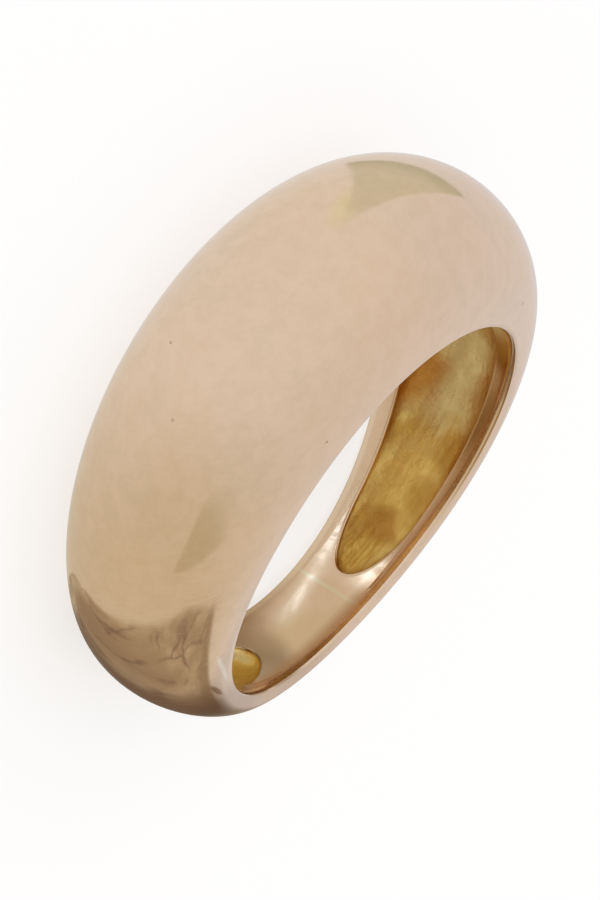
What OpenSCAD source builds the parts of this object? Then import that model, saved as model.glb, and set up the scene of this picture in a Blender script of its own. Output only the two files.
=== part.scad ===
// A domed band ring with a hollow back, lying on its side.
// Millimetres, +Z up, the dome towards -Y. The origin is under the middle of
// the ring, on the surface that it lies on.
//
// The ring is first drawn round the finger hole, whose axis is Z. Angles are
// counted from the middle of the dome, positive towards +X. It is then tipped
// until it lies on its lower rim, because the dome is wider than the shank.

/* [Finger hole] */
// Inside diameter of the ring
bore_d = 17.0; // [15:0.1:20]

/* [Width along the finger] */
// Width at the middle of the dome
dome_w = 9.35; // [7:0.05:11]
// Width half way down each shoulder
shoulder_w = 8.7; // [6.5:0.05:10]
// Width at each side of the finger
side_w = 6.75; // [5:0.05:8]
// Width where the shank begins
taper_w = 4.6; // [3.6:0.05:6]
// Width of the shank under the finger
shank_w = 3.45; // [3:0.05:4.5]

/* [Height above the finger hole] */
// Height of the dome at its middle
dome_h = 5.2; // [4:0.05:6]
// Height half way down each shoulder
shoulder_h = 4.7; // [3.5:0.05:5.5]
// Height at each side of the finger
side_h = 3.25; // [2.6:0.05:4]
// Height where the shank begins
taper_h = 1.5; // [1.4:0.05:2.5]
// Height of the shank under the finger
shank_h = 1.1; // [1.1:0.05:1.8]

/* [Rims] */
// Height of the widest line above the finger hole, at the dome
dome_lip = 0.55; // [0.4:0.05:0.8]
// Height of the widest line above the finger hole, at the shank
shank_lip = 0.6; // [0.4:0.05:0.8]
// Width of the rounded edge round the finger hole
eased_w = 0.4; // [0.2:0.05:0.4]
// Height of the rounded edge above the finger hole
eased_h = 0.2; // [0.1:0.05:0.3]

/* [Hollow back] */
// Wall at the middle of the dome
dome_wall = 1.0; // [0.8:0.05:1.4]
// Metal left under the ends of the hollow
shank_wall = 0.75; // [0.7:0.05:0.9]
// Strip between the hollow and the upper rim, at the dome
dome_upper_strip = 1.15; // [0.8:0.05:1.4]
// Strip between the hollow and the upper rim, at the shank
shank_upper_strip = 0.5; // [0.45:0.05:0.6]
// Strip between the hollow and the lower rim, at the dome
dome_lower_strip = 2.15; // [1.2:0.05:2.4]
// Strip between the hollow and the lower rim, at the shank
shank_lower_strip = 0.5; // [0.45:0.05:0.6]
// Angle at which the hollow ends on the -X side
left_end = 168.5; // [160:0.5:170]
// Angle at which the hollow ends on the +X side
right_end = 153.5; // [145:0.5:160]
// Length of each rounded end, in degrees
end_length = 20; // [14:1:22]

/* [Lying on its side] */
// Tilt at which the ring lies on its rim, in degrees
rest_tilt = 8.8; // [8:0.1:10]

/* [Facets] */
// Sections round the ring
ring_steps = 96; // [72:12:120]
// Steps across the outside of a section
arc_steps = 18; // [14:2:20]

/* [Hidden] */
$fn = 96;
bore_r = bore_d / 2;
// How far the drawn forms reach into the finger hole before it is cut
reach = 0.6;
// Depth of the upright wall round the mouth of the hollow
mouth_depth = 0.15;
// Turn that keeps the seam of the finger hole clear of the sections
seam_turn = 90 + 360 / ring_steps * 0.4;
half_widths = [dome_w, shoulder_w, side_w, taper_w, shank_w] / 2;
heights = [dome_h, shoulder_h, side_h, taper_h, shank_h];
lips = [dome_lip, shank_lip];
walls = [dome_wall, shank_wall];
upper_strips = [dome_upper_strip, shank_upper_strip];
lower_strips = [dome_lower_strip, shank_lower_strip];

// Smooth even curve through values spaced evenly from the dome to the shank
function end_weight(i, last) = i == 0 || i == last ? 0.5 : 1;
function sum(v, i = 0) = i < len(v) ? v[i] + sum(v, i + 1) : 0;
function wave(values, k) = let (last = len(values) - 1)
    sum([for (j = [0:last]) end_weight(j, last) * values[j] * cos(180 * j * k / last)]);
function around(values, angle) = let (last = len(values) - 1)
    sum([for (k = [0:last]) end_weight(k, last) * wave(values, k) * cos(k * angle)]) * 2 / last;

// A point of a section as a point in space: height above the hole, place along it
function on_ring(angle, h, z) = [(bore_r + h) * sin(angle), -(bore_r + h) * cos(angle), z];

// Rounded edge of a section from the side of the rim to the finger hole
ease_angles = [0, 25, 50, 72];
function edge(half_w, side) = [for (b = ease_angles)
    [eased_h - eased_h * sin(b), side * (half_w - eased_w + eased_w * cos(b))]];

// Outline of a section: the outside, lower edge, finger hole, upper edge
function band_section(angle) = let (
    half_w = around(half_widths, angle),
    h = around(heights, angle),
    lip = around(lips, angle),
    upper = edge(half_w, 1),
    lower = edge(half_w, -1),
    mouth = upper[len(upper) - 1][1]
) concat(
    [for (i = [0:arc_steps]) let (a = 180 * i / arc_steps)
        [lip + (h - lip) * sin(a), half_w * cos(a)]],
    lower,
    [[-reach, -mouth], [-reach, mouth]],
    [for (i = [len(upper) - 1:-1:0]) upper[i]]
);

// Steps across the hollow, an even number
hollow_steps = 12;

// Outline of the hollow at an angle, drawn in by a share at its rounded ends
function hollow_section(angle, share) = let (
    half_w = around(half_widths, angle),
    upper = half_w - around(upper_strips, angle),
    lower = half_w - around(lower_strips, angle),
    middle = (upper - lower) / 2,
    half = (upper + lower) / 2 * share,
    depth = around(heights, angle) - around(walls, angle)
) concat(
    [for (i = [0:hollow_steps]) let (a = 180 * i / hollow_steps)
        [mouth_depth + (depth - mouth_depth) * share * sin(a), middle + half * cos(a)]],
    [[-reach, middle - half], [-reach, middle + half]]
);

// Angles and shares of the hollow's sections, from its left end to its right end
end_steps = 6;
middle_steps = 54;
function end_places(from, way) = [for (k = [1:end_steps]) let (b = 90 * (k - 0.5) / end_steps)
    [from + way * end_length * (1 - cos(b)), sin(b)]];
hollow_from = end_length - left_end;
hollow_to = right_end - end_length;
right_places = end_places(right_end, -1);
hollow_places = concat(
    end_places(-left_end, 1),
    [for (i = [0:middle_steps]) [hollow_from + (hollow_to - hollow_from) * i / middle_steps, 1]],
    [for (i = [end_steps - 1:-1:0]) right_places[i]]
);

// Skin of quads split into triangles between rows of equal length
function skin(rows, width, closed) = [for (i = [0:rows - (closed ? 1 : 2)], j = [0:width - 1])
    let (a = i * width + j, b = i * width + (j + 1) % width,
         c = ((i + 1) % rows) * width + (j + 1) % width, d = ((i + 1) % rows) * width + j)
    each [[a, c, b], [a, d, c]]];

ring_angles = [for (i = [0:ring_steps - 1]) 360 * i / ring_steps];
band_points = [for (angle = ring_angles, p = band_section(angle)) on_ring(angle, p[0], p[1])];
band_width = len(band_section(0));

module band_blank() {
    polyhedron(band_points, skin(ring_steps, band_width, true), convexity = 6);
}

// Flat end of the hollow, in strips across its section from the first point given
function end_cap(first, turned) = let (strips = concat(
    [[0, hollow_steps, hollow_steps + 1, hollow_steps + 2]],
    [for (i = [0:hollow_steps / 2 - 2]) [i, i + 1, hollow_steps - i - 1, hollow_steps - i]],
    [[hollow_steps / 2 - 1, hollow_steps / 2, hollow_steps / 2 + 1]]
)) [for (strip = strips) let (last = len(strip) - 1)
    [for (i = [0:last]) first + strip[turned ? last - i : i]]];

module hollow() {
    points = [for (place = hollow_places, p = hollow_section(place[0], place[1]))
        on_ring(place[0], p[0], p[1])];
    width = hollow_steps + 3;
    rows = len(hollow_places);
    caps = concat(end_cap(0, false), end_cap((rows - 1) * width, true));
    polyhedron(points, concat(skin(rows, width, false), caps), convexity = 6);
}

// Where the tipped ring sits: its lowest point on the surface, its middle over the origin
tipped = [for (p = band_points) [p[0],
    p[1] * cos(rest_tilt) + p[2] * sin(rest_tilt),
    p[2] * cos(rest_tilt) - p[1] * sin(rest_tilt)]];
rest_height = -min([for (p = tipped) p[2]]);
middle_y = (min([for (p = tipped) p[1]]) + max([for (p = tipped) p[1]])) / 2;

module domed_band() {
    color("burlywood")
    translate([0, -middle_y, rest_height])
    rotate([-rest_tilt, 0, 0])
    difference() {
        difference() {
            band_blank();
            hollow();
        }
        rotate([0, 0, seam_turn])
        cylinder(h = 4 * dome_w, r = bore_r, center = true);
    }
}

domed_band();
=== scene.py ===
import math

import bpy
from mathutils import Matrix, Vector


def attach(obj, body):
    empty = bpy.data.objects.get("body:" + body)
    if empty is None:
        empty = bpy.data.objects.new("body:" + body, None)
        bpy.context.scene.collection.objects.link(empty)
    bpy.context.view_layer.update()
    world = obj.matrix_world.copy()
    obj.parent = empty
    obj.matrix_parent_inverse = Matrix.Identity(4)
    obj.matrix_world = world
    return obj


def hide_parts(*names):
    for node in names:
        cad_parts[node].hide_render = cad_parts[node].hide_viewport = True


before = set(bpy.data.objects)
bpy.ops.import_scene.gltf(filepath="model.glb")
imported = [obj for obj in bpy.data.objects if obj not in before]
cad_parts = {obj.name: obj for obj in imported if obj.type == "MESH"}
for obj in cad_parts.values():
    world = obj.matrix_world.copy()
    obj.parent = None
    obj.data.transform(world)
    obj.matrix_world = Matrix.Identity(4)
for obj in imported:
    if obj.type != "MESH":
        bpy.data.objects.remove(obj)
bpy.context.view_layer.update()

# The band ring, cast in one piece of rose gold. The dome is hollowed out from the finger
# hole to save metal, with a narrow strip left along both rims. The outside, the rims and
# the finger hole are polished after casting, and the hollow is left as it was cast.

# Sizes are in millimetres, and angles in degrees from the middle of the dome. The values
# of a list are spaced evenly from the middle of the dome to the middle of the shank.
bore_r = 17.0 / 2
half_widths = [9.35 / 2, 8.7 / 2, 6.75 / 2, 4.6 / 2, 3.45 / 2]
heights = [5.2, 4.7, 3.25, 1.5, 1.1]
lips = [0.55, 0.6]
walls = [1.0, 0.75]
upper_strips = [1.15, 0.6]
lower_strips = [2.15, 0.6]
# The edge between a rim and the finger hole is eased and carries a painted highlight, and a stain with
# painted shade lies a little further in.
eased_w = 0.45
eased_h = 0.11
stained_and_shaded_w = 0.85
# The hollow ends at these two angles, one on each side, and each end is rounded over its
# last 20 degrees.
right_end = 153.5
left_end = 168.5
end_length = 20.0
right_corner = right_end - end_length
left_corner = 360.0 - (left_end - end_length)
# The mouth of the hollow has a low upright wall with a rounded edge.
mouth_depth = 0.12
mouth_round = 0.08
# The lumps of the casting have their full height from this share of the depth inwards.
cast_lump_size = 1.0
cast_lump_height = 0.09
cast_lump_full = 0.4
cast_lump_detail = 2
# The ring lies on its side, tipped until it rests as it would by itself.
rest_tilt = math.radians(8.8)
ring_centre = Vector((0.0, 2.02018, 3.36459))


def around(values, angle):
    """Smooth even curve through values spaced evenly from the dome to the shank."""
    last = len(values) - 1
    share = [0.5 if i in (0, last) else 1.0 for i in range(last + 1)]
    total = 0.0
    for k in range(last + 1):
        wave = sum(share[j] * values[j] * math.cos(math.pi * j * k / last) for j in range(last + 1))
        total += share[k] * wave * math.cos(k * math.radians(angle))
    return total * 2 / last


def on_ring(angle, h, z):
    """A place on the lying ring, in metres, from its height above the finger hole and its width."""
    turn = math.radians(angle)
    x = (bore_r + h) * math.sin(turn)
    y = -(bore_r + h) * math.cos(turn)
    tipped = Vector((
        x,
        y * math.cos(rest_tilt) + z * math.sin(rest_tilt),
        z * math.cos(rest_tilt) - y * math.sin(rest_tilt),
    ))
    return (tipped + ring_centre) / 1000


def mouth_middle(angle):
    """Middle and half width of the hollow's mouth."""
    half_w = around(half_widths, angle)
    upper = half_w - around(upper_strips, angle)
    lower = half_w - around(lower_strips, angle)
    return (upper - lower) / 2, (upper + lower) / 2


# Steps of the mesh: across the outside, a rim, a strip and the hollow, round the mouth's
# edge, and along the dome, each end of the hollow and the shank.
crown_steps = 28
side_steps = 2
rim_steps = 10
strip_steps = 5
hollow_steps = 36
mouth_steps = 5
dome_steps = 182
end_steps = 14
shank_steps = 36

# The edge of the mouth from the upright wall to the finger hole: outward step and height
mouth_edge = [(0.0, mouth_depth), (0.0, mouth_round)]
for k in range(1, mouth_steps):
    bend = math.radians(90 * k / (mouth_steps - 1))
    mouth_edge.append((mouth_round * (1 - math.cos(bend)), mouth_round * (1 - math.sin(bend))))

# The rows of the mesh round the ring. Each has the angle of the outside, the angle of the
# mouth's corner, the part of the hollow that it crosses, how far along that part it is,
# and its step on the mouth's edge.
rows = []
right_steps = round(dome_steps * right_corner / (right_corner + 360 - left_corner))
left_steps = dome_steps - right_steps
for i in range(right_steps):
    angle = right_corner * i / right_steps
    rows.append((angle, angle, "hollow", 0.0, 0))
back_places = []
for i in range(end_steps + 1):
    back_places.append((right_corner, "right end", 90 * i / end_steps, 0))
for k in range(1, mouth_steps + 1):
    back_places.append((right_corner, "right end", 90.0, k))
for i in range(1, shank_steps):
    share = i / shank_steps
    back_places.append((right_corner + (left_corner - right_corner) * share, "shank", share, mouth_steps))
for k in range(mouth_steps, 0, -1):
    back_places.append((left_corner, "left end", 90.0, k))
for i in range(end_steps, -1, -1):
    back_places.append((left_corner, "left end", 90 * i / end_steps, 0))
for i, (corner, part, share, k) in enumerate(back_places):
    outside = right_corner + (left_corner - right_corner) * i / (len(back_places) - 1)
    rows.append((outside, corner, part, share, k))
for i in range(1, left_steps):
    angle = left_corner + (360 - left_corner) * i / left_steps
    rows.append((angle, angle, "hollow", 0.0, 0))


def hollow_point(row, a):
    """A point of the hollow's cast surface, or of the shank beyond its ends."""
    outside, corner, part, share, k = row
    step, height = mouth_edge[k]
    across = math.sin(a)
    if part == "shank":
        full = mouth_edge[-1][0]
        first = right_corner + (end_length + math.degrees(full / bore_r)) * across
        last = left_corner - (end_length + math.degrees(full / bore_r)) * across
        angle = first + (last - first) * share
        middle, half = mouth_middle(angle)
        return angle, 0.0, middle + (half + full) * math.cos(a)
    bend = math.radians(share)
    reach = (end_length * math.sin(bend) + math.degrees(step / bore_r)) * across
    angle = corner + reach if part == "right end" else corner - reach
    middle, half = mouth_middle(angle)
    depth = around(heights, angle) - around(walls, angle)
    if k:
        return angle, height, middle + (half + step) * math.cos(a)
    rise = (depth - mouth_depth) * math.cos(bend) * across
    return angle, mouth_depth + rise, middle + half * math.cos(a)


def ring_section(row):
    """One row of the ring: crown, upper rim, strip, hollow, lower strip and rim, crown."""
    outside, corner, part, share, k = row
    half_w = around(half_widths, outside)
    h = around(heights, outside)
    lip = around(lips, outside)
    points = []
    for i in range(crown_steps):
        a = math.radians(90 - 90 * i / crown_steps)
        points.append((outside, lip + (h - lip) * math.sin(a), half_w * math.cos(a)))
    rim = []
    for i in range(side_steps):
        rim.append((lip + (eased_h - lip) * i / side_steps, half_w))
    for i in range(rim_steps):
        b = math.radians(90 * i / rim_steps)
        rim.append((eased_h - eased_h * math.sin(b), half_w - eased_w + eased_w * math.cos(b)))
    points += [(outside, height, z) for height, z in rim]
    middle, half = mouth_middle(corner)
    for side in (1, -1):
        flat = side * (half_w - eased_w)
        edge = middle + side * (half + mouth_edge[-1][0])
        strip = []
        for i in range(strip_steps):
            s = i / strip_steps
            strip.append((outside + (corner - outside) * s, 0.0, flat + (edge - flat) * s))
        for m in range(mouth_steps, 0, -1):
            step, height = mouth_edge[max(m, k)]
            strip.append((corner, height, middle + side * (half + step)))
        if side == 1:
            points += strip
            for i in range(hollow_steps + 1):
                points.append(hollow_point(row, math.pi * i / hollow_steps))
        else:
            points += reversed(strip)
    points += [(outside, height, -z) for height, z in reversed(rim)]
    for i in range(1, crown_steps):
        a = math.radians(90 * i / crown_steps)
        points.append((outside, lip + (h - lip) * math.sin(a), -half_w * math.cos(a)))
    return points


# The ring starts as a torus with a row of points for each section, and each point is then
# put in its place on the ring.
blank_radius = 10.5
blank_thickness = 2.0
sections = [ring_section(row) for row in rows]
section_size = len(sections[0])
bpy.ops.object.select_all(action="DESELECT")
bpy.ops.mesh.primitive_torus_add(
    major_segments=len(rows),
    minor_segments=section_size,
    major_radius=blank_radius / 1000,
    minor_radius=blank_thickness / 1000,
)
ring = bpy.context.object
ring.name = "domed_ring"
for i, section in enumerate(sections):
    for j, (angle, h, z) in enumerate(section):
        ring.data.vertices[i * section_size + j].co = on_ring(angle, h, z)

# The cast inside is left lumpy. The lumps fade out towards the mouth of the hollow.
hollow_first = crown_steps + side_steps + rim_steps + strip_steps + mouth_steps
hollow_last = hollow_first + hollow_steps
lumpy = ring.vertex_groups.new(name="lumpy")
depth_shares = [0.0] * len(ring.data.vertices)
for i, (outside, corner, part, share, k) in enumerate(rows):
    if part == "shank" or k:
        continue
    for j in range(1, hollow_steps):
        point = i * section_size + hollow_first + j
        depth_share = math.sin(math.pi * j / hollow_steps) * math.cos(math.radians(share))
        depth_shares[point] = depth_share
        lumpy.add([point], min(1.0, depth_share / cast_lump_full), "REPLACE")

# The finishes read four shares from the ring's points: how deep it is in the hollow,
# inside the rims, on an eased edge with its painted highlight, and on the part next to the
# upper rim with a stain and painted shade. The eased edge's first and last three rows of
# points are left out of its share.
first_inner = crown_steps + side_steps + 1
edge_margin = 3
inner_shares = []
edge_highlight_shares = []
rim_stain_and_shade_shares = []
for section in sections:
    for column, (angle, height, z) in enumerate(section):
        in_from_rim = min(column, section_size - column) - first_inner
        past_edge = in_from_rim >= rim_steps - edge_margin
        inner_shares.append(1.0 if in_from_rim >= 0 else 0.0)
        edge_highlight_shares.append(1.0 if in_from_rim >= edge_margin and not past_edge else 0.0)
        from_rim = around(half_widths, angle) - z
        near_rim = (stained_and_shaded_w - from_rim) / (stained_and_shaded_w - eased_w)
        rim_stain_and_shade_shares.append(min(1.0, max(0.0, near_rim)) if past_edge else 0.0)
shares = {
    "depth_share": depth_shares,
    "inner_share": inner_shares,
    "edge_highlight_share": edge_highlight_shares,
    "rim_stain_and_shade_share": rim_stain_and_shade_shares,
}
for name, values in shares.items():
    ring.data.attributes.new(name, "FLOAT", "POINT").data.foreach_set("value", values)

# The hollow is the cast finish, and all else is polished.
polished = bpy.data.materials.new("polished rose gold")
cast = bpy.data.materials.new("cast yellow gold")
ring.data.materials.append(polished)
ring.data.materials.append(cast)
for face in ring.data.polygons:
    columns = sorted({point % section_size for point in face.vertices})
    crossed = [rows[i] for i in {point // section_size for point in face.vertices}]
    in_hollow = hollow_first <= columns[0] and columns[-1] <= hollow_last
    on_shank = any(part == "shank" for outside, corner, part, share, k in crossed)
    on_edge = max(k for outside, corner, part, share, k in crossed) > 1
    if in_hollow and not on_shank and not on_edge:
        face.material_index = 1

# The points that meet at the ends of the hollow are merged, and the lumps are raised.
merge_distance = 0.001
bpy.ops.object.mode_set(mode="EDIT")
bpy.ops.mesh.select_all(action="SELECT")
bpy.ops.mesh.remove_doubles(threshold=merge_distance / 1000)
bpy.ops.mesh.normals_make_consistent(inside=False)
bpy.ops.object.mode_set(mode="OBJECT")
bpy.ops.object.shade_smooth()
casting = bpy.data.textures.new("casting lumps", "CLOUDS")
casting.noise_scale = cast_lump_size / 1000
casting.noise_depth = cast_lump_detail
bpy.ops.object.modifier_add(type="DISPLACE")
lumps = ring.modifiers["Displace"]
lumps.texture = casting
lumps.texture_coords = "LOCAL"
lumps.vertex_group = "lumpy"
lumps.strength = cast_lump_height / 1000
lumps.mid_level = 0.5
bpy.ops.object.modifier_apply(modifier="Displace")
bpy.ops.object.transform_apply(location=True, rotation=True, scale=True)
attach(ring, "root")
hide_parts("domed_band")

# The polish: rose gold of 14 carat, buffed by hand, so it is a little wavy, with fine
# scratches and a few pits from the casting. The finger hole is harder to reach with the
# wheel, so it is duller and keeps some tarnish, with painted shade. A pale sizing seam
# crosses the shank in it. The eased edges and a streak at the upper rim carry painted
# highlights, and the part next to the upper rim and the right shoulder carry painted shade.

rose_gold = (0.895, 0.68, 0.49, 1)
pale_rose_gold = (0.865, 0.68, 0.51, 1)
mottled_gold = (0.95, 0.735, 0.565, 1)
mottled_strength = 0.6
worn_gold = (0.80, 0.60, 0.42, 1)
worn_strength = 0.10
pitted_gold = (0.45, 0.30, 0.18, 1)
pitted_strength = 0.5
# The eased edges get a painted highlight in this colour.
edge_highlight_gold = (1.0, 0.84, 0.66, 1)
edge_highlight_strength = 0.7
# The stain and painted shade at the upper rim grow from the dome to the shank, between these two y.
stain_and_shade_gold = (0.50, 0.27, 0.11, 1)
stain_and_shade_dome_y = 2.0
stain_and_shade_shank_y = 6.0
stain_and_shade_dome_strength = 0.3
stain_and_shade_shank_strength = 0.72
# The seam's place across the shank, and the y from which it shows
seam_gold = (0.88, 0.80, 0.60, 1)
seam_strength = 0.7
seam_x = -0.85
seam_half_width = 0.1
seam_first_y = 8.5
seam_full_y = 9.0
# Buffing marks and scratches are drawn out along one way, and turned by angles in radians.
buffed_stretch = (1.0, 6.0, 1.0)
buffed_turn = (0.3, 0.2, 0.7)
scratch_stretch = (1.0, 40.0, 1.0)
scratch_turn = (0.1, 0.4, 0.9)
# Heights of the waves, the scratches and the pits, and roughness of the polish
wave_height = 0.012
scratch_height = 0.0006
pit_depth = 0.04
clean_roughness = 0.06
worn_roughness = 0.12
inner_roughness = 0.10
# Pits: place and radius
pits = [
    ((7.48, -8.95, 5.21), 0.085),
    ((5.22, -10.25, 3.52), 0.08),
    ((-8.68, -1.85, 7.96), 0.10),
    ((3.72, -6.42, 9.23), 0.08),
]
# Patches inside the finger hole, tarnish and painted shade, darker except for one paler rosy patch:
# place, radius, strength and colour
hole_tarnish_and_shade = [
    ((3.4, 9.9, 1.2), 2.1, 0.6, (0.58, 0.40, 0.26, 1)),
    ((-8.4, 4.0, 6.0), 6.5, 0.9, (0.50, 0.28, 0.10, 1)),
    ((1.6, 10.4, 2.9), 1.8, 0.5, (0.86, 0.68, 0.42, 1)),
    ((4.3, 9.6, 3.2), 2.0, 0.8, (0.42, 0.29, 0.16, 1)),
    ((3.5, 9.75, 2.4), 1.6, 0.55, (0.44, 0.31, 0.18, 1)),
    ((6.3, 8.1, 4.5), 1.7, 0.9, (0.44, 0.27, 0.10, 1)),
]
# Painted shade on the outside of the right shoulder, browner patches that stand in for a darker
# reflection: place, radius, strength and colour
shoulder_shade = [
    ((5.8, 9.0, 4.5), 7.0, 0.85, (0.67, 0.485, 0.325, 1)),
    ((8.0, 6.9, 5.1), 3.2, 0.7, (0.56, 0.40, 0.28, 1)),
]
# A painted highlight streak and a dark mark at the upper rim: place, way, half sizes and colour
rim_highlight_and_mark = [
    ((9.2, 2.75, 6.62), (-1.0, 3.0, -0.9), (1.9, 0.15, 0.15), (1.0, 0.90, 0.74, 1)),
    ((9.33, 4.18, 6.12), (-0.77, 1.40, -0.33), (1.1, 0.15, 0.16), (0.38, 0.22, 0.10, 1)),
]


def mm(*values):
    """Millimetres as metres."""
    return tuple(value / 1000 for value in values)


def add_node(tree, kind, sockets, **settings):
    """A new node, with each socket set to a value or linked to another node's output."""
    node = tree.nodes.new(kind)
    for name, value in settings.items():
        setattr(node, name, value)
    for name, value in sockets.items():
        if isinstance(value, bpy.types.NodeSocket):
            tree.links.new(value, node.inputs[name])
        else:
            node.inputs[name].default_value = value
    return node


def mix_colours(tree, share, first, second):
    """The first colour where the share is nothing, and the second where it is one."""
    node = add_node(tree, "ShaderNodeMix", {0: share, 6: first, 7: second}, data_type="RGBA")
    return node.outputs[2]


def noise(tree, place, scale, detail=2.0, roughness=0.5):
    """Soft noise, with its scale in patches to the metre."""
    node = add_node(tree, "ShaderNodeTexNoise", {
        "Vector": place,
        "Scale": scale,
        "Detail": detail,
        "Roughness": roughness,
    })
    return node.outputs["Fac"]


def stretch(tree, place, scale, turn=(0.0, 0.0, 0.0)):
    """The same place in a pattern that is drawn out along one way."""
    node = add_node(tree, "ShaderNodeMapping", {
        "Vector": place,
        "Scale": scale,
        "Rotation": turn,
    })
    return node.outputs["Vector"]


def fade(tree, value, start, end, low=0.0, high=1.0):
    """A value brought smoothly from low at start to high at end."""
    node = add_node(tree, "ShaderNodeMapRange", {
        "Value": value,
        "From Min": start,
        "From Max": end,
        "To Min": low,
        "To Max": high,
    }, interpolation_type="SMOOTHSTEP")
    return node.outputs["Result"]


def maths(tree, operation, first, second=0.0):
    """Arithmetic on one or two values."""
    node = add_node(tree, "ShaderNodeMath", {0: first, 1: second}, operation=operation)
    return node.outputs["Value"]


def times(tree, first, *others):
    """Several values multiplied."""
    for other in others:
        first = maths(tree, "MULTIPLY", first, other)
    return first


def spot(tree, place, centre, radius):
    """One in the core of a round spot, fading to nothing at its radius."""
    core = radius * 0.4
    distance = add_node(tree, "ShaderNodeVectorMath", {0: place, 1: centre}, operation="DISTANCE")
    return fade(tree, distance.outputs["Value"], core, radius, 1.0, 0.0)


def tint(tree, place, base, tones, where=None):
    """A base colour with soft patches of other tones, all over or only where that is one."""
    for centre, radius, strength, colour in tones:
        share = times(tree, spot(tree, place, mm(*centre), radius / 1000), strength)
        if where is not None:
            share = times(tree, share, where)
        base = mix_colours(tree, share, base, colour)
    return base


def bumps(tree, height, distance, after=None):
    """Bumps of a height in millimetres, added to those that came before."""
    sockets = {"Height": height, "Distance": distance / 1000, "Strength": 1.0}
    if after is not None:
        sockets["Normal"] = after
    return add_node(tree, "ShaderNodeBump", sockets).outputs["Normal"]


def ring_share(tree, name):
    """One of the shares that the ring's points hold."""
    return add_node(tree, "ShaderNodeAttribute", {}, attribute_name=name).outputs["Fac"]


polished.use_nodes = True
tree = polished.node_tree
shader = tree.nodes["Principled BSDF"]
place = add_node(tree, "ShaderNodeTexCoord", {}).outputs["Object"]
across = add_node(tree, "ShaderNodeSeparateXYZ", {"Vector": place})
inner = ring_share(tree, "inner_share")
outer = maths(tree, "SUBTRACT", 1.0, inner)

drift = fade(tree, noise(tree, place, scale=260.0), 0.3, 0.7)
gold = mix_colours(tree, drift, rose_gold, pale_rose_gold)
mottled = fade(tree, noise(tree, place, scale=1300.0, detail=4.0, roughness=0.65), 0.35, 0.65)
gold = mix_colours(tree, times(tree, mottled, mottled_strength), gold, mottled_gold)
buffed = stretch(tree, place, buffed_stretch, buffed_turn)
worn = fade(tree, noise(tree, buffed, scale=1400.0, detail=3.0), 0.35, 0.75)
gold = mix_colours(tree, times(tree, worn, worn_strength), gold, worn_gold)
pitted = 0.0
for centre, radius in pits:
    pitted = maths(tree, "MAXIMUM", pitted, spot(tree, place, mm(*centre), radius / 1000))
gold = mix_colours(tree, times(tree, pitted, pitted_strength), gold, pitted_gold)

off_seam = maths(tree, "ABSOLUTE", maths(tree, "SUBTRACT", across.outputs["X"], seam_x / 1000))
seam = fade(tree, off_seam, seam_half_width * 0.5 / 1000, seam_half_width / 1000, 1.0, 0.0)
on_shank = fade(tree, across.outputs["Y"], seam_first_y / 1000, seam_full_y / 1000)
in_hole = fade(tree, inner, 0.8, 1.0, 0.0, seam_strength)
gold = mix_colours(tree, times(tree, seam, on_shank, in_hole), gold, seam_gold)
# Tarnish and painted shade inside the finger hole
gold = tint(tree, place, gold, hole_tarnish_and_shade, inner)
# A stain with painted shade next to the upper rim, stronger towards the shank
towards_shank = fade(
    tree, across.outputs["Y"], stain_and_shade_dome_y / 1000, stain_and_shade_shank_y / 1000,
    stain_and_shade_dome_strength, stain_and_shade_shank_strength,
)
stained_and_shaded = times(tree, ring_share(tree, "rim_stain_and_shade_share"), towards_shank)
gold = mix_colours(tree, stained_and_shaded, gold, stain_and_shade_gold)
# Painted highlight on the eased edges
edge = times(tree, ring_share(tree, "edge_highlight_share"), edge_highlight_strength)
gold = mix_colours(tree, edge, gold, edge_highlight_gold)
# Painted shade on the outside of the right shoulder
gold = tint(tree, place, gold, shoulder_shade, outer)
# A painted highlight streak and a dark mark at the upper rim
for centre, way, half_sizes, colour in rim_highlight_and_mark:
    along = add_node(tree, "ShaderNodeMapping", {
        "Vector": place,
        "Location": mm(*centre),
        "Rotation": tuple(Vector(way).to_track_quat("X", "Z").to_euler()),
        "Scale": mm(*half_sizes),
    }, vector_type="TEXTURE").outputs["Vector"]
    gold = mix_colours(tree, spot(tree, along, (0.0, 0.0, 0.0), 1.0), gold, colour)
shader.inputs["Metallic"].default_value = 1.0
tree.links.new(gold, shader.inputs["Base Color"])

wear = fade(tree, worn, 0.0, 1.0, clean_roughness, worn_roughness)
rough = maths(tree, "ADD", wear, fade(tree, inner, 0.0, 1.0, 0.0, inner_roughness))
tree.links.new(rough, shader.inputs["Roughness"])
scratched = stretch(tree, place, scratch_stretch, scratch_turn)
scratches = fade(tree, noise(tree, scratched, scale=900.0, detail=3.0), 0.62, 0.72)
waves = bumps(tree, noise(tree, place, scale=420.0, detail=1.0), wave_height)
waves = bumps(tree, scratches, scratch_height, waves)
waves = bumps(tree, maths(tree, "SUBTRACT", 1.0, pitted), pit_depth, waves)
tree.links.new(waves, shader.inputs["Normal"])

# The cast gold of the hollow, left as it came from the mould: yellower than the polish,
# satin, grainy and streaked round the ring, with painted shade that darkens it towards the
# mouth of the hollow. Some of its patches are painted highlights and painted shade.

cast_gold = (0.82, 0.56, 0.15, 1)
deep_cast_gold = (0.67, 0.42, 0.09, 1)
khaki_gold = (0.80, 0.67, 0.34, 1)
khaki_strength = 0.5
streak_gold = (0.52, 0.27, 0.04, 1)
streak_strength = 0.55
streak_stretch = (45.0, 75.0, 1.0)
mouth_shade_gold = (0.47, 0.23, 0.05, 1)
mouth_shade_strength = 0.7
cast_roughness = 0.34
rough_cast_roughness = 0.5
fine_grain_height = 0.03
coarse_grain_height = 0.06
# The patches of tone have ragged edges, put out by up to half of this.
ragged_by = 1.3
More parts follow.
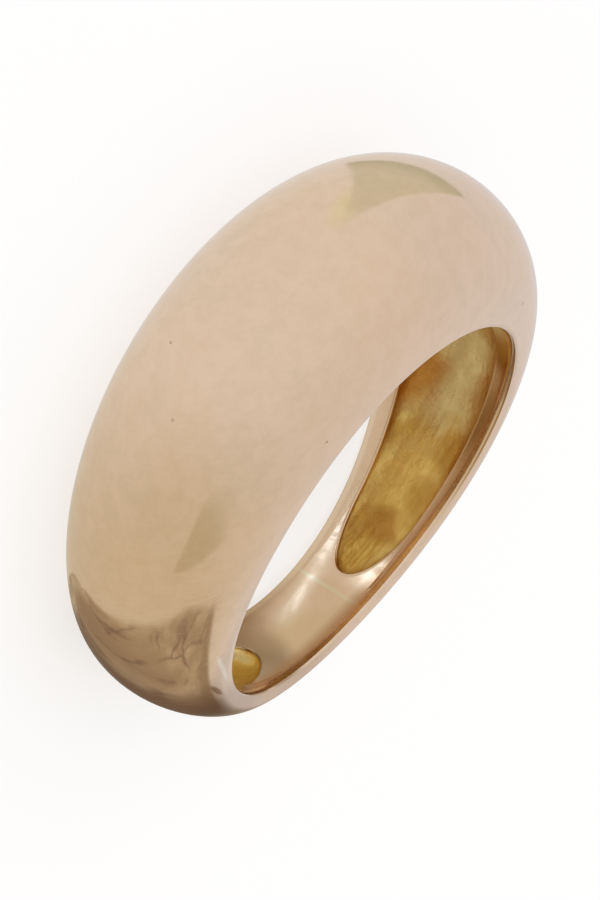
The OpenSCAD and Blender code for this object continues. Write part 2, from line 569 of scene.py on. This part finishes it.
# Tones of the cast surface: place, radius, strength and colour. The brown spots along the mouth's edge on
# the left side are painted shade, and at the right end the bright yellow spots are painted highlights and
# the amber spot is painted shade.
cast_tones_highlights_and_shade = [
    ((-9.4, 5.2, 2.8), 3.6, 0.75, (0.86, 0.75, 0.41, 1)),
    ((-5.4, 9.0, 2.4), 2.6, 0.60, (0.95, 0.71, 0.23, 1)),
    ((-4.2, 9.9, 2.2), 1.05, 0.7, (0.50, 0.22, 0.04, 1)),
    ((-10.4, 3.4, 4.1), 1.3, 0.75, (0.56, 0.33, 0.08, 1)),
    ((-9.5, 3.0, 4.9), 2.2, 0.70, (0.50, 0.25, 0.08, 1)),
    ((-8.5, 5.3, 1.0), 2.0, 0.85, (0.58, 0.23, 0.02, 1)),
    ((-9.3, 4.7, 4.8), 1.5, 0.6, (0.55, 0.26, 0.04, 1)),
    ((-8.8, 6.2, 4.5), 1.7, 0.65, (0.55, 0.26, 0.04, 1)),
    ((-7.3, 7.8, 4.0), 1.6, 0.65, (0.55, 0.26, 0.04, 1)),
    ((-5.6, 9.3, 3.6), 1.5, 0.6, (0.55, 0.26, 0.04, 1)),
    ((0.0, -11.0, 4.0), 16.0, 1.0, (0.95, 0.70, 0.32, 1)),
    # At the right end: painted highlights in bright yellow, painted shade in amber
    ((4.0, 9.6, 2.4), 1.9, 0.95, (1.0, 0.73, 0.20, 1)),
    ((5.0, 9.4, 2.9), 1.1, 0.8, (0.70, 0.42, 0.06, 1)),
    ((4.1, 9.65, 1.9), 0.65, 0.75, (1.0, 0.90, 0.50, 1)),
]


def shifted(tree, place, by, scale, detail, still=(0.0, 0.0, 0.0)):
    """A place put out by noise, for a ragged outline. Noise of the still value moves nothing."""
    node = add_node(tree, "ShaderNodeTexNoise", {"Vector": place, "Scale": scale, "Detail": detail})
    way = add_node(tree, "ShaderNodeVectorMath", {
        0: node.outputs["Color"],
        1: still,
    }, operation="SUBTRACT").outputs["Vector"]
    return add_node(tree, "ShaderNodeVectorMath", {
        0: way,
        1: (by, by, by),
        2: place,
    }, operation="MULTIPLY_ADD").outputs["Vector"]


cast.use_nodes = True
tree = cast.node_tree
shader = tree.nodes["Principled BSDF"]
coordinates = add_node(tree, "ShaderNodeTexCoord", {})
place = coordinates.outputs["Object"]

patches = fade(tree, noise(tree, place, scale=420.0, detail=3.0, roughness=0.6), 0.35, 0.65)
gold = mix_colours(tree, patches, cast_gold, deep_cast_gold)
khaki = fade(tree, noise(tree, place, scale=700.0, detail=4.0, roughness=0.6), 0.40, 0.70)
gold = mix_colours(tree, times(tree, khaki, khaki_strength), gold, khaki_gold)
streaked = stretch(tree, coordinates.outputs["UV"], streak_stretch)
streaks = fade(tree, noise(tree, streaked, scale=1.0, detail=3.0, roughness=0.6), 0.42, 0.62)
gold = mix_colours(tree, times(tree, streaks, streak_strength), gold, streak_gold)
unevenness = fade(tree, noise(tree, place, scale=600.0, detail=2.0), 0.3, 0.7, -0.25, 0.25)
depth = maths(tree, "ADD", ring_share(tree, "depth_share"), unevenness)
# Painted shade, darker towards the mouth of the hollow
gold = mix_colours(tree, fade(tree, depth, 0.25, 0.75, mouth_shade_strength, 0.0), gold, mouth_shade_gold)
ragged = shifted(tree, place, ragged_by / 1000, scale=900.0, detail=2.0, still=(0.5, 0.5, 0.5))
# Tones of the cast surface, with painted highlights and painted shade among them
gold = tint(tree, ragged, gold, cast_tones_highlights_and_shade)
shader.inputs["Metallic"].default_value = 1.0
tree.links.new(gold, shader.inputs["Base Color"])

rough = noise(tree, place, scale=1500.0, detail=3.0)
rough = fade(tree, rough, 0.3, 0.7, cast_roughness, rough_cast_roughness)
tree.links.new(rough, shader.inputs["Roughness"])
grain = noise(tree, place, scale=5200.0, detail=4.0, roughness=0.6)
grain = bumps(tree, grain, fine_grain_height)
coarse_grain = noise(tree, place, scale=1500.0, detail=3.0, roughness=0.6)
grain = bumps(tree, coarse_grain, coarse_grain_height, grain)
tree.links.new(grain, shader.inputs["Normal"])

# The light tent round the ring, of pale cloth: one side is better lit and one is warmer,
# with a khaki fold, and it has a khaki card on one side and an opening to a dim room on the
# other. Only the metal mirrors all this, and the camera sees a plain pale backdrop.

backdrop_colour = (0.93, 0.93, 0.93, 1)
tent_colour = (0.70, 0.67, 0.63, 1)
lit_colour = (0.77, 0.752, 0.733, 1)
cool_colour = (0.725, 0.705, 0.72, 1)
warm_colour = (0.625, 0.57, 0.455, 1)
fold_colour = (0.52, 0.475, 0.35, 1)
card_dark_colour = (0.34, 0.34, 0.235, 1)
card_pale_colour = (0.64, 0.635, 0.54, 1)
card_glow_colour = (0.755, 0.765, 0.61, 1)
room_dark_colour = (0.36, 0.285, 0.19, 1)
room_pale_colour = (0.50, 0.43, 0.31, 1)
room_low_colour = (0.31, 0.24, 0.16, 1)
crease_colour = (0.18, 0.13, 0.095, 1)
crease_strength = 0.85
crease_width = 0.07
crease_scale = 3.6
crease_ragged_by = 0.14
knot_colour = (0.31, 0.23, 0.17, 1)
jamb_colour = (0.32, 0.26, 0.17, 1)
shade_colour = (0.17, 0.115, 0.08, 1)
# Round patches: azimuth and elevation of the middle, radius and width of the soft edge
lit_patch = (-110, -5, 75, 110)
cool_patch = (150, 5, 45, 60)
warm_patch = (30, 0, 60, 70)
fold_patch = (22, 33, 20, 26)
card_patch = (182, -26, 38, 20)
card_glow_patch = (222, -20, 9, 16)
room_low_patch = (66, -18, 14, 30)
crease_patch = (72, 2, 32, 24)
knot_patch = (55, 24, 3, 6)
opening_patch = (70, -8, 44, 6)
low_opening_patch = (80, -46, 32, 10)
shade_patch = (100, -9, 12, 18)
# Straight edges: azimuth and elevation of two places on the edge, and how soft it is. What
# they bound is on their left.
fold_edges = [((20, 25), (52, 59), 0.015), ((-15, 43), (20, 25), 0.03)]
card_edges = [
    ((166, -6), (185, -55), 0.02),
    ((225, -6), (160, -6), 0.02),
    ((185, -58), (206, -44), 0.04),
]
card_blend = ((166, -6), (185, -55), 0.3)
jamb_edge = ((98, -5), (76, 34), 0.04)
opening_edges = [((109, -6), (81, 34), 0.03), ((49, 35), (34, -20), 0.05)]


def toward(azimuth, elevation):
    """Direction from the ring, in degrees round from +X and up from level."""
    turn = math.radians(azimuth)
    rise = math.radians(elevation)
    return (math.cos(rise) * math.cos(turn), math.cos(rise) * math.sin(turn), math.sin(rise))


def patch(tree, direction, azimuth, elevation, radius, soft):
    """One inside a round patch of the surroundings, fading out over its soft edge."""
    dot = add_node(tree, "ShaderNodeVectorMath", {
        0: direction,
        1: toward(azimuth, elevation),
    }, operation="DOT_PRODUCT").outputs["Value"]
    outer = math.cos(math.radians(min(180.0, radius + soft / 2)))
    inner = math.cos(math.radians(max(0.0, radius - soft / 2)))
    return fade(tree, dot, outer, inner)


def beside(tree, direction, first, second, soft):
    """One on the left of the line from the first place to the second, fading past it."""
    normal = Vector(toward(*first)).cross(Vector(toward(*second))).normalized()
    dot = add_node(tree, "ShaderNodeVectorMath", {
        0: direction,
        1: tuple(normal),
    }, operation="DOT_PRODUCT").outputs["Value"]
    return fade(tree, dot, -soft, soft)


def within(tree, direction, edges, share):
    """The share where it lies on the left of every edge."""
    return times(tree, share, *[beside(tree, direction, *edge) for edge in edges])


def dim_room(tree, direction):
    """Colour of the room past the opening: blotched, with thin crossing lines and a jamb."""
    blotches = noise(tree, direction, scale=3.0, detail=5.0, roughness=0.65)
    room = mix_colours(tree, fade(tree, blotches, 0.35, 0.65), room_dark_colour, room_pale_colour)
    room = mix_colours(tree, patch(tree, direction, *room_low_patch), room, room_low_colour)
    creases = add_node(tree, "ShaderNodeTexVoronoi", {
        "Vector": shifted(tree, direction, crease_ragged_by, scale=7.0, detail=3.0),
        "Scale": crease_scale,
    }, feature="DISTANCE_TO_EDGE").outputs["Distance"]
    creases = fade(tree, creases, 0.0, crease_width, crease_strength, 0.0)
    broken = fade(tree, noise(tree, direction, scale=4.0, detail=1.0), 0.36, 0.5)
    creases = times(tree, creases, broken, patch(tree, direction, *crease_patch))
    room = mix_colours(tree, creases, room, crease_colour)
    room = mix_colours(tree, patch(tree, direction, *knot_patch), room, knot_colour)
    return mix_colours(tree, beside(tree, direction, *jamb_edge), jamb_colour, room)


def surroundings(tree, direction, left, right):
    """Colour of the tent in a direction. The card and the room each have a direction of their
    own, as the sides of the ring see them."""
    colour = mix_colours(tree, patch(tree, direction, *lit_patch), tent_colour, lit_colour)
    colour = mix_colours(tree, patch(tree, direction, *cool_patch), colour, cool_colour)
    colour = mix_colours(tree, patch(tree, direction, *warm_patch), colour, warm_colour)
    fold = within(tree, direction, fold_edges, patch(tree, direction, *fold_patch))
    colour = mix_colours(tree, fold, colour, fold_colour)
    card = within(tree, left, card_edges, patch(tree, left, *card_patch))
    card_colour = mix_colours(tree, beside(tree, left, *card_blend), card_dark_colour, card_pale_colour)
    colour = mix_colours(tree, patch(tree, left, *card_glow_patch), colour, card_glow_colour)
    colour = mix_colours(tree, card, colour, card_colour)
    high_part = patch(tree, right, *opening_patch)
    low_part = patch(tree, right, *low_opening_patch)
    opening = within(tree, right, opening_edges, maths(tree, "MAXIMUM", high_part, low_part))
    colour = mix_colours(tree, opening, colour, dim_room(tree, right))
    return mix_colours(tree, patch(tree, right, *shade_patch), colour, shade_colour)


def show_plain(tree, mirrored, plain, surface):
    """Show the plain shader to the camera, and the mirrored one to the metal and as light."""
    seen = add_node(tree, "ShaderNodeLightPath", {}).outputs["Is Camera Ray"]
    both = add_node(tree, "ShaderNodeMixShader", {0: seen, 1: mirrored, 2: plain})
    tree.links.new(both.outputs["Shader"], surface)


world = bpy.data.worlds.new("light tent")
bpy.context.scene.world = world
world.use_nodes = True
tree = world.node_tree
direction = add_node(tree, "ShaderNodeTexCoord", {}).outputs["Generated"]
tent = tree.nodes["Background"]
tree.links.new(surroundings(tree, direction, direction, direction), tent.inputs["Color"])
tent.inputs["Strength"].default_value = 1.0
backdrop = add_node(tree, "ShaderNodeBackground", {"Color": backdrop_colour, "Strength": 1.0})
show_plain(
    tree, tent.outputs["Background"], backdrop.outputs["Background"],
    tree.nodes["World Output"].inputs["Surface"],
)
bpy.context.scene.view_settings.view_transform = "Standard"

# The floor, a plain pale sheet of paper lit from below, which the ring lies on. In the
# polish it looks like the rest of the tent, and dimmer inside the finger hole.

floor_width = 3.0
paper_colour = (0.50, 0.51, 0.54, 1)
paper_roughness = 0.9
paper_gloss = 0.1
paper_light_colour = (1, 1, 1, 1)
paper_light = 0.66
# Where the floor is mirrored from: the middle of the ring, and its sides towards the card
# and towards the room
mirror_middle = (0.0, 0.0, 6.0)
mirror_left = (-5.0, -8.0, 6.0)
mirror_right = (11.4, -0.8, 1.2)
# The part of the floor that the finger hole mirrors, with its shaded end
hole_place = (0.0, 2.0, 0.0)
hole_reach = 12.5
hole_floor_colour = (0.62, 0.56, 0.46, 1)
hole_shade_colour = (0.33, 0.24, 0.14, 1)
hole_shade_place = (3.5, 8.5, 0.0)
hole_shade_radius = 5.5
# Its two bright places: place, radius, strength and colour
glints = [
    ((-2.2, 6.2, 0.0), 0.45, 1.0, (2.2, 2.7, 3.3, 1)),
    ((-1.85, -1.8, 0.0), 1.7, 1.0, (3.0, 3.6, 4.3, 1)),
]


def seen_from(tree, place, spot_on_ring):
    """Direction to a place on the floor from a spot on the ring."""
    away = add_node(tree, "ShaderNodeVectorMath", {
        0: place,
        1: mm(*spot_on_ring),
    }, operation="SUBTRACT").outputs["Vector"]
    return add_node(tree, "ShaderNodeVectorMath", {0: away}, operation="NORMALIZE").outputs["Vector"]


bpy.ops.object.select_all(action="DESELECT")
bpy.ops.mesh.primitive_plane_add(size=floor_width, location=(0, 0, 0))
floor = bpy.context.object
floor.name = "floor"
paper = bpy.data.materials.new("pale paper")
paper.use_nodes = True
floor.data.materials.append(paper)
tree = paper.node_tree
shader = tree.nodes["Principled BSDF"]
shader.inputs["Base Color"].default_value = paper_colour
shader.inputs["Roughness"].default_value = paper_roughness
shader.inputs["Specular IOR Level"].default_value = paper_gloss
shader.inputs["Emission Color"].default_value = paper_light_colour
shader.inputs["Emission Strength"].default_value = paper_light
place = add_node(tree, "ShaderNodeTexCoord", {}).outputs["Object"]
outside_hole = surroundings(
    tree,
    seen_from(tree, place, mirror_middle),
    seen_from(tree, place, mirror_left),
    seen_from(tree, place, mirror_right),
)
hole_shade = spot(tree, place, mm(*hole_shade_place), hole_shade_radius / 1000)
in_hole = mix_colours(tree, hole_shade, hole_floor_colour, hole_shade_colour)
in_hole = tint(tree, place, in_hole, glints)
under_hole = spot(tree, place, mm(*hole_place), hole_reach / 1000)
mirrored = add_node(tree, "ShaderNodeEmission", {
    "Color": mix_colours(tree, under_hole, outside_hole, in_hole),
    "Strength": 1.0,
})
show_plain(
    tree, mirrored.outputs["Emission"], shader.outputs["BSDF"],
    tree.nodes["Material Output"].inputs["Surface"],
)

# The camera, a long lens that looks down on the lying ring from in front and to the right.
# It is turned on its own axis by more than a right angle, so the ring seems to stand up.

camera_turn = math.radians(31.758)
camera_rise = math.radians(31.464)
camera_roll = math.radians(116.630)
camera_distance = 0.9
pixels_per_metre = 26042.0
frame_width = 600
frame_height = 900
# Where the middle of the ring shows in the frame, in pixels from its top left
ring_pixel_x = 305.64
ring_pixel_y = 469.72
sensor_width = 36.0
nearest = 0.1
furthest = 20.0
bpy.ops.object.camera_add()
camera = bpy.context.object
aim = (
    Matrix.Rotation(camera_turn, 4, "Z")
    @ Matrix.Rotation(math.pi / 2 - camera_rise, 4, "X")
    @ Matrix.Rotation(camera_roll, 4, "Z")
)
right, up, back = [aim.col[i].to_3d() for i in range(3)]
off_middle = Vector((ring_pixel_x - frame_width / 2, frame_height / 2 - ring_pixel_y))
place = ring_centre / 1000 + back * camera_distance
place -= right * off_middle.x / pixels_per_metre
place -= up * off_middle.y / pixels_per_metre
camera.matrix_world = Matrix.Translation(place) @ aim
camera.data.sensor_width = sensor_width
camera.data.lens = sensor_width * pixels_per_metre * camera_distance / frame_height
camera.data.clip_start = nearest
camera.data.clip_end = furthest
bpy.context.scene.camera = camera
